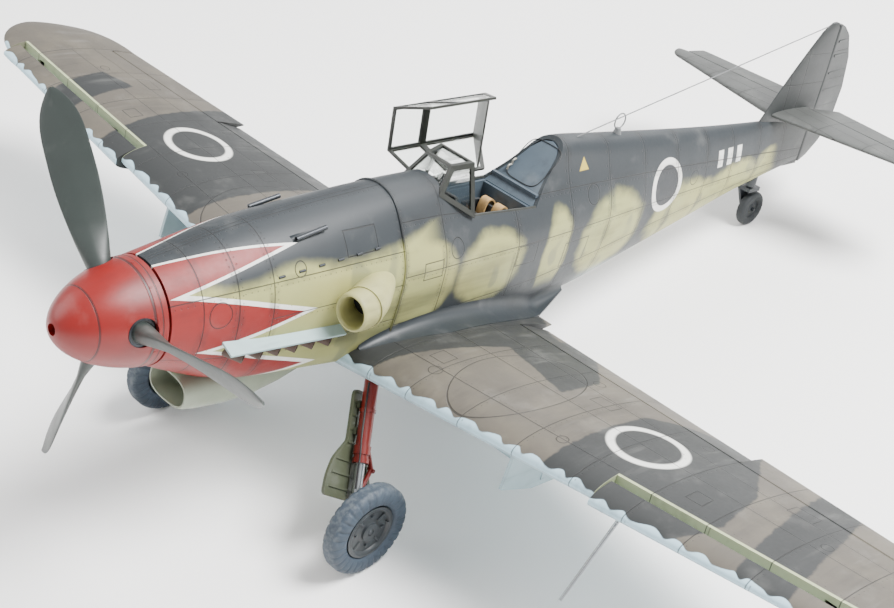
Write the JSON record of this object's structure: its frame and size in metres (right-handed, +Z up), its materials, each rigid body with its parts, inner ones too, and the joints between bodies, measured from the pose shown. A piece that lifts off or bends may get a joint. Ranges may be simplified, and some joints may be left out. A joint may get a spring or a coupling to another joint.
{
  "type": "propeller plane model",
  "caption": "Single-engined low-wing propeller plane scale model standing tail-down on its wheels, with spinning propeller, open side-hinged hood, slats, flaps and moving tail surfaces.",
  "frame": {"origin": "centre of the footprint, on the surface under the wheels", "axes": "+Z up, nose towards -Y, port wing along +X; the model stands tail-down"},
  "size_m": [0.3096, 0.2782, 0.1007],
  "materials": {
    "nose_red": "satin paint",
    "cowl_dark": "satin paint, dark blue-grey",
    "side_green": "satin paint, pale yellow-green with dark mottle",
    "tail_dark": "satin paint, dark green-grey",
    "upper_grey": "satin paint, brownish grey with dark splinter patches",
    "lower_blue": "satin paint, pale blue",
    "rust_brown": "matt, heat-stained",
    "shield_blue": "satin paint, pale blue",
    "chin_green": "satin paint, pale grey-green",
    "gun_metal": "dark metallic paint",
    "glazing_frame": "satin paint, dark green-grey",
    "clear": "clear",
    "cockpit_grey": "satin paint, blue-grey",
    "belt_tan": "matt",
    "black_panel": "matt",
    "leg_red": "satin paint, red-brown",
    "cover_olive": "satin paint, dark olive inside, pale outside",
    "tyre_grey": "matt, dark blue-grey",
    "hub_dark": "satin",
    "blade_green": "semi-gloss, dark green-grey",
    "wire_metal": "bare metal look"
  },
  "bodies": {
    "airframe": {"nose_ring": "nose_red", "cowl_upper": "cowl_dark", "cowl_side_left": "side_green", "cowl_side_right": "side_green", "fuselage_left": "side_green", "fuselage_right": "side_green", "supercharger_intake": "side_green", "exhaust_stubs": "rust_brown", "exhaust_shields": "shield_blue", "oil_cooler_fairing": "chin_green", "gun_barrels": "gun_metal", "wing_lower_left": "lower_blue", "wing_lower_right": "lower_blue", "wing_upper_left": "upper_grey", "wing_upper_right": "upper_grey", "radiator_left": "lower_blue", "radiator_right": "lower_blue", "stabiliser_left": "upper_grey", "stabiliser_right": "upper_grey", "fin": "tail_dark", "windscreen_frame": "glazing_frame", "windscreen_glass": "clear", "cockpit_tub": "cockpit_grey", "seat": "cockpit_grey", "seat_belts": "belt_tan", "instrument_panel": "black_panel", "control_stick": "black_panel", "gunsight": "black_panel", "gear_leg_left": "leg_red", "gear_leg_right": "leg_red", "gear_cover_left": "cover_olive", "gear_cover_right": "cover_olive", "tail_strut": "hub_dark", "antenna_loop": "wire_metal", "antenna_mast": "wire_metal", "aerial_wire": "wire_metal", "rear_bulkhead": "cockpit_grey"},
    "propeller": {"spinner": "nose_red", "propeller_hub": "blade_green", "blade_1": "blade_green", "blade_2": "blade_green", "blade_3": "blade_green"},
    "wheel_left": {"tyre_left": "tyre_grey", "wheel_hub_left": "hub_dark"},
    "wheel_right": {"tyre_right": "tyre_grey", "wheel_hub_right": "hub_dark"},
    "tail_caster": {"tail_fork": "hub_dark"},
    "tail_roller": {"tail_wheel": "tyre_grey"},
    "hood": {"canopy_frame": "glazing_frame", "canopy_glass": "clear", "head_armour": "glazing_frame"},
    "rudder_body": {"rudder": "tail_dark"},
    "elevator_left_body": {"elevator_left": "upper_grey"},
    "elevator_right_body": {"elevator_right": "upper_grey"},
    "aileron_left_body": {"aileron_left": "upper_grey"},
    "aileron_right_body": {"aileron_right": "upper_grey"},
    "flap_left_body": {"flap_left": "upper_grey"},
    "flap_right_body": {"flap_right": "upper_grey"},
    "slat_left_body": {"slat_left": "upper_grey"},
    "slat_right_body": {"slat_right": "upper_grey"}
  },
  "joints": [
    {"name": "propeller_spin", "type": "hinge", "parent": "airframe", "child": "propeller", "pos_m": [0, -0.11945, 0.06313], "axis": [0, 0.9829, -0.184], "continuous": true},
    {"name": "wheel_left_spin", "type": "hinge", "parent": "airframe", "child": "wheel_left", "pos_m": [0.0365, -0.08691, 0.01085], "axis": [1, 0, 0], "continuous": true},
    {"name": "wheel_right_spin", "type": "hinge", "parent": "airframe", "child": "wheel_right", "pos_m": [-0.0365, -0.08691, 0.01085], "axis": [1, 0, 0], "continuous": true},
    {"name": "tail_swivel", "type": "hinge", "parent": "airframe", "child": "tail_caster", "pos_m": [0, 0.09897, 0.01579], "axis": [0, 0.184, 0.9829], "range_deg": [-45, 45]},
    {"name": "tail_wheel_spin", "type": "hinge", "parent": "tail_caster", "child": "tail_roller", "pos_m": [0, 0.10146, 0.00515], "axis": [1, 0, 0], "continuous": true},
    {"name": "hood_hinge", "type": "hinge", "parent": "airframe", "child": "hood", "pos_m": [-0.0096, -0.02919, 0.05616], "axis": [0, 0.9829, -0.184], "range_deg": [0, 95]},
    {"name": "rudder_hinge", "type": "hinge", "parent": "airframe", "child": "rudder_body", "pos_m": [0, 0.12341, 0.02785], "axis": [0, 0.184, 0.9829], "range_deg": [-25, 25]},
    {"name": "elevator_left_hinge", "type": "hinge", "parent": "airframe", "child": "elevator_left_body", "pos_m": [0.01, 0.11865, 0.03393], "axis": [1, 0, 0], "range_deg": [-25, 25]},
    {"name": "elevator_right_hinge", "type": "hinge", "parent": "airframe", "child": "elevator_right_body", "pos_m": [-0.01, 0.11865, 0.03393], "axis": [1, 0, 0], "range_deg": [-25, 25]},
    {"name": "aileron_left_hinge", "type": "hinge", "parent": "airframe", "child": "aileron_left_body", "pos_m": [0.0908, -0.03105, 0.03453], "axis": [0.9856, -0.1065, 0.1312], "range_deg": [-20, 20]},
    {"name": "aileron_right_hinge", "type": "hinge", "parent": "airframe", "child": "aileron_right_body", "pos_m": [-0.0908, -0.03105, 0.03453], "axis": [0.9856, 0.1065, -0.1312], "range_deg": [-20, 20]},
    {"name": "flap_left_hinge", "type": "hinge", "parent": "airframe", "child": "flap_left_body", "pos_m": [0.0195, -0.02334, 0.02504], "axis": [0.9856, -0.1065, 0.1312], "range_deg": [-30, 8]},
    {"name": "flap_right_hinge", "type": "hinge", "parent": "airframe", "child": "flap_right_body", "pos_m": [-0.0195, -0.02334, 0.02504], "axis": [0.9856, 0.1065, -0.1312], "range_deg": [-30, 8]},
    {"name": "slat_left_slide", "type": "slide", "parent": "airframe", "child": "slat_left_body", "axis": [0, 0.9869, 0.1613], "range_m": [0, 0.0018]},
    {"name": "slat_right_slide", "type": "slide", "parent": "airframe", "child": "slat_right_body", "axis": [0, 0.9869, 0.1613], "range_m": [0, 0.0018]}
  ],
  "couplings": [
    {"joint": "elevator_right_hinge", "follows": "elevator_left_hinge", "ratio": 1},
    {"joint": "aileron_right_hinge", "follows": "aileron_left_hinge", "ratio": -1},
    {"joint": "flap_right_hinge", "follows": "flap_left_hinge", "ratio": 1}
  ]
}
